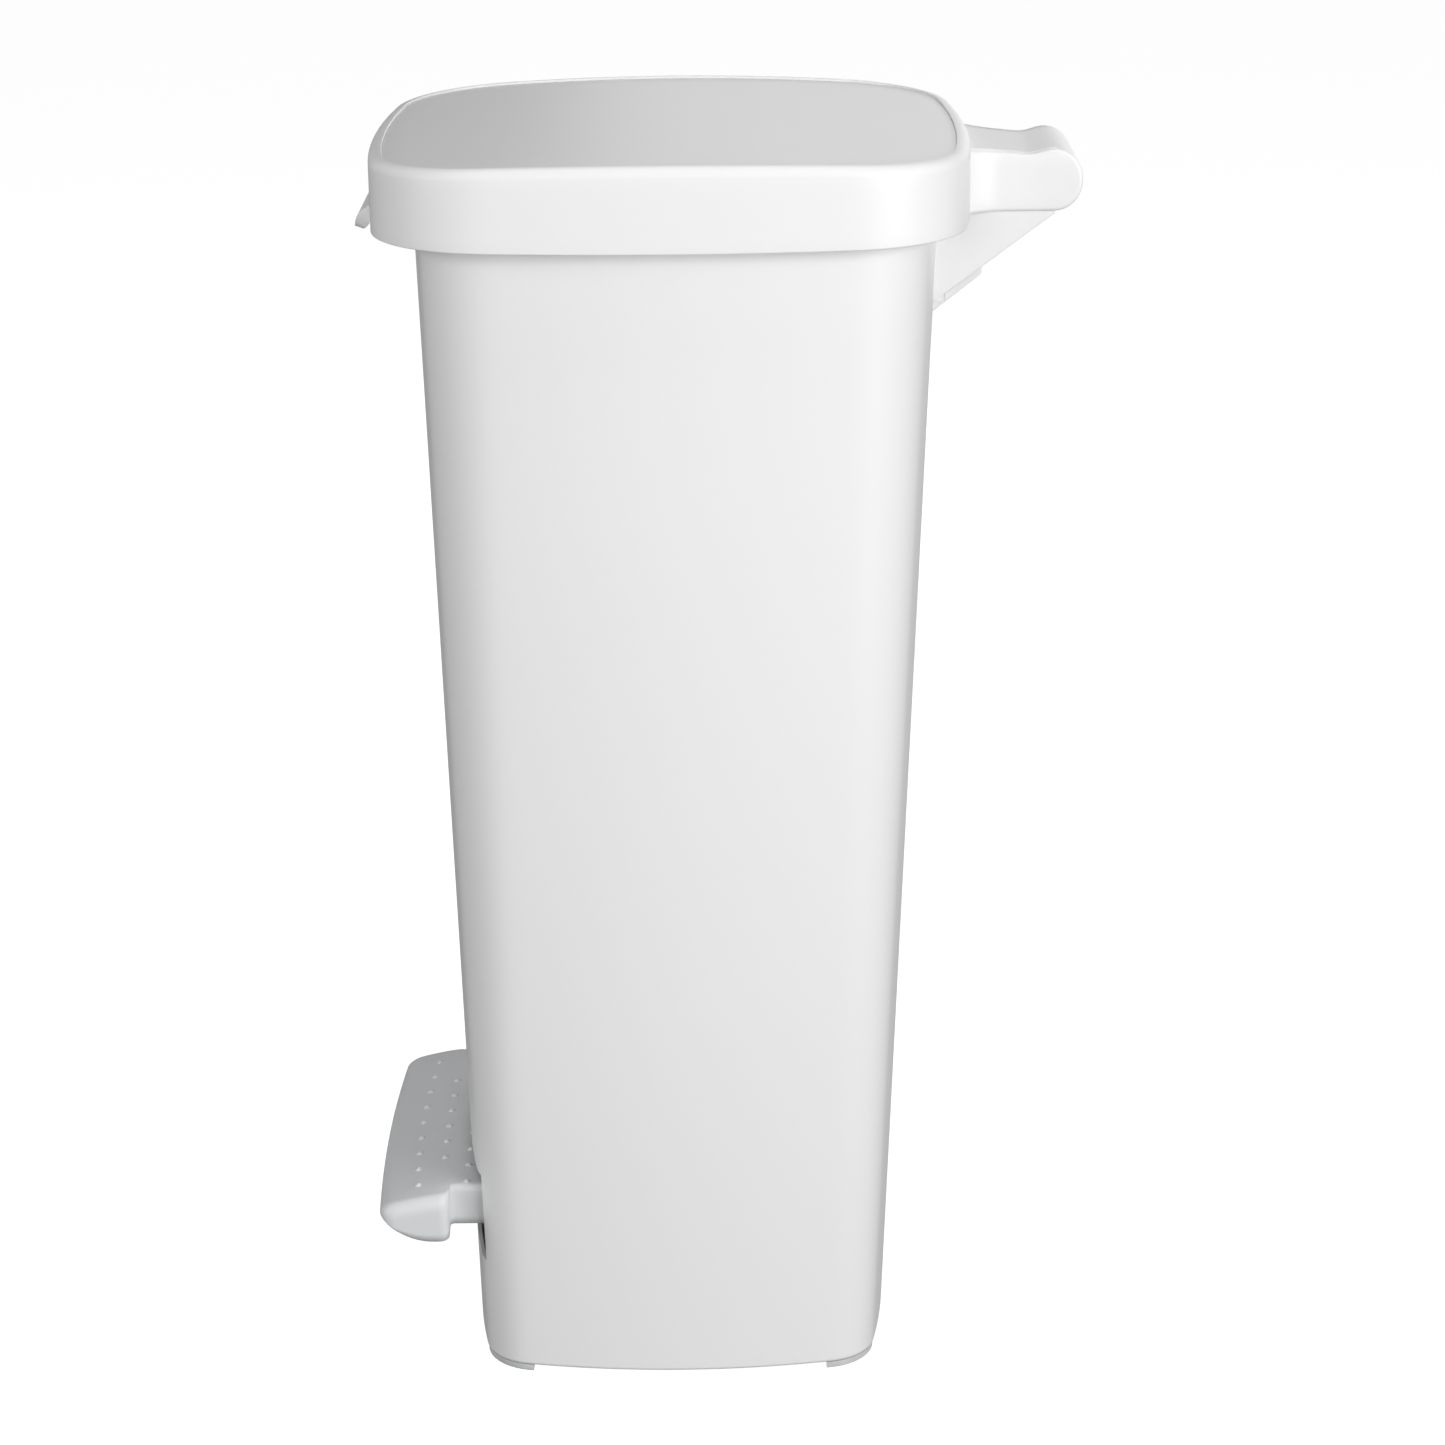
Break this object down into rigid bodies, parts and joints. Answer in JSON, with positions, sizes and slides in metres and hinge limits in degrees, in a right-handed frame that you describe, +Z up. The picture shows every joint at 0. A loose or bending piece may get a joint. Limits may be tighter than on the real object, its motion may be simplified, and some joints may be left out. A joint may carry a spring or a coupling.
{
  "type": "pedal bin",
  "caption": "Tall tapered pedal bin with a rounded overlapping lid hinged at the rear, a wide front pedal, a push rod and a lift-out inner bucket.",
  "frame": {"origin": "on the floor, at the bottom centre of the whole bin's bounding box, midway between the pedal's front edge and the rear of the lid's arm", "axes": "+Z up, -Y towards the pedal at the front, +Y towards the lid's hinge at the rear, +X across the bin to the right seen from the front"},
  "size_m": [0.295, 0.3822, 0.676],
  "materials": {
    "shell_pp": "white satin injection-moulded polypropylene",
    "bucket_pp": "pale moulded polypropylene",
    "pedal_pp": "white moulded polypropylene with raised grip dots",
    "nylon": "natural moulded nylon",
    "foot_rubber": "matt moulded rubber",
    "steel": "bright zinc-plated steel"
  },
  "bodies": {
    "base": {"outer_casing": "shell_pp", "base_plate": "shell_pp", "foot_front_left": "foot_rubber", "foot_front_right": "foot_rubber", "foot_rear_left": "foot_rubber", "foot_rear_right": "foot_rubber", "lid_buffer_left": "foot_rubber", "lid_buffer_right": "foot_rubber", "hinge_bracket": "shell_pp", "hinge_pin": "steel", "hinge_bush_left": "nylon", "hinge_bush_right": "nylon", "bracket_screw_1": "steel", "bracket_screw_2": "steel", "bracket_screw_3": "steel", "bracket_screw_4": "steel", "rod_guide_1": "nylon", "rod_guide_2": "nylon", "rod_guide_3": "nylon", "pivot_block_left": "nylon", "pivot_block_right": "nylon", "pivot_screw_left_1": "steel", "pivot_screw_left_2": "steel", "pivot_screw_right_1": "steel", "pivot_screw_right_2": "steel", "pivot_pin": "steel", "slot_buffer": "foot_rubber"},
    "lid": {"lid_shell": "shell_pp", "lid_top_panel": "shell_pp"},
    "pedal": {"pedal_plate": "pedal_pp", "pedal_lever": "steel", "pedal_screw_1": "steel", "pedal_screw_2": "steel"},
    "rod": {"push_rod": "steel", "rod_shoe": "nylon"},
    "bucket": {"inner_bucket": "bucket_pp"}
  },
  "joints": [
    {"name": "lid_hinge", "type": "hinge", "parent": "base", "child": "lid", "pos_m": [0, 0.17659, 0.6476], "axis": [-1, 0, 0], "range_deg": [0, 80]},
    {"name": "pedal_press", "type": "hinge", "parent": "base", "child": "pedal", "pos_m": [0, -0.04941, 0.06], "axis": [1, 0, 0], "range_deg": [0, 11.25]},
    {"name": "rod_lift", "type": "slide", "parent": "base", "child": "rod", "axis": [0, 0.0436, 0.999], "range_m": [0, 0.0262]},
    {"name": "bucket_lift", "type": "slide", "parent": "base", "child": "bucket", "axis": [0, 0, 1], "range_m": [0, 0.006]}
  ],
  "couplings": [
    {"joint": "pedal_press", "follows": "lid_hinge", "ratio": 0.14},
    {"joint": "rod_lift", "follows": "lid_hinge", "m_per_rad": 0.01862}
  ]
}
